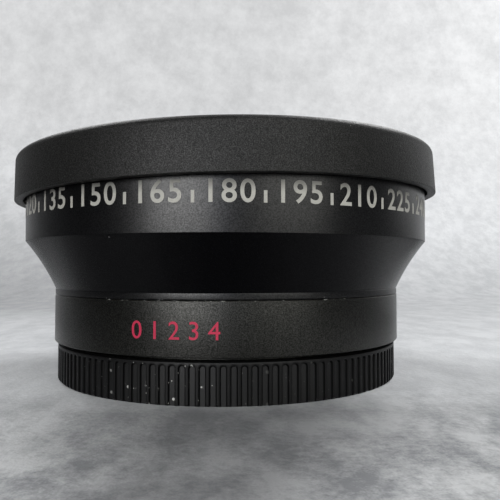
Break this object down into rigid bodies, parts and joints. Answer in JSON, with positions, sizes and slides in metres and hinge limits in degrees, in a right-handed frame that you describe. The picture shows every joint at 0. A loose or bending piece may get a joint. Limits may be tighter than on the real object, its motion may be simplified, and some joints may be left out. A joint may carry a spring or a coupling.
{
  "type": "wide-angle conversion lens",
  "caption": "Wide-angle conversion lens with a screw-off close-up unit, a slip-on front cap and a ribbed screw-on rear cap.",
  "frame": {"origin": "centre of the rear cap's underside, on the optical axis", "axes": "+Z along the optical axis towards the front of the lens; -Y is the side with the marking on the close-up unit"},
  "size_m": [0.068, 0.0682, 0.0355],
  "materials": {
    "rear_cap_plastic": "moulded black plastic, slightly glossy rib tops, white dust in the flutes",
    "front_cap_plastic": "moulded matt dark grey plastic with a fine orange-peel texture",
    "matt_anodised": "bead-blasted aluminium, anodised matt black",
    "satin_anodised": "fine-turned aluminium, anodised satin black",
    "ring_black": "turned aluminium, anodised black",
    "seal_rubber": "soft black rubber",
    "wide_glass": "polished optical glass with a faint green and violet coating",
    "macro_glass": "polished optical glass with a faint violet coating"
  },
  "bodies": {
    "rear_cap": {"rear_cap": "rear_cap_plastic"},
    "macro_glass": {"macro_rear_element": "macro_glass", "macro_front_element": "macro_glass"},
    "macro_unit": {"macro_housing": "matt_anodised", "macro_retaining_ring": "ring_black"},
    "wide_glass": {"second_element": "wide_glass", "front_element": "wide_glass"},
    "wide_unit": {"wide_barrel": "satin_anodised", "second_retaining_ring": "ring_black", "front_seal": "seal_rubber", "front_retaining_ring": "ring_black"},
    "front_cap": {"front_cap": "front_cap_plastic"}
  },
  "joints": [
    {"name": "rear_thread_rise", "type": "slide", "parent": "rear_cap", "child": "macro_glass", "axis": [0, 0, 1], "range_m": [0, 0.00394]},
    {"name": "rear_thread_turn", "type": "hinge", "parent": "macro_glass", "child": "macro_unit", "pos_m": [0, 0, 0.005], "axis": [0, 0, 1], "range_deg": [0, 1890]},
    {"name": "joint_thread_rise", "type": "slide", "parent": "macro_unit", "child": "wide_glass", "axis": [0, 0, 1], "range_m": [0, 0.00263]},
    {"name": "joint_thread_turn", "type": "hinge", "parent": "wide_glass", "child": "wide_unit", "pos_m": [0, 0, 0.013], "axis": [0, 0, 1], "range_deg": [0, 1260]},
    {"name": "front_cap_pull", "type": "slide", "parent": "wide_unit", "child": "front_cap", "axis": [0, 0, 1], "range_m": [0, 0.02]}
  ],
  "couplings": [
    {"joint": "rear_thread_rise", "follows": "rear_thread_turn", "m_per_rad": 0.00011937},
    {"joint": "joint_thread_rise", "follows": "joint_thread_turn", "m_per_rad": 0.00011937}
  ]
}
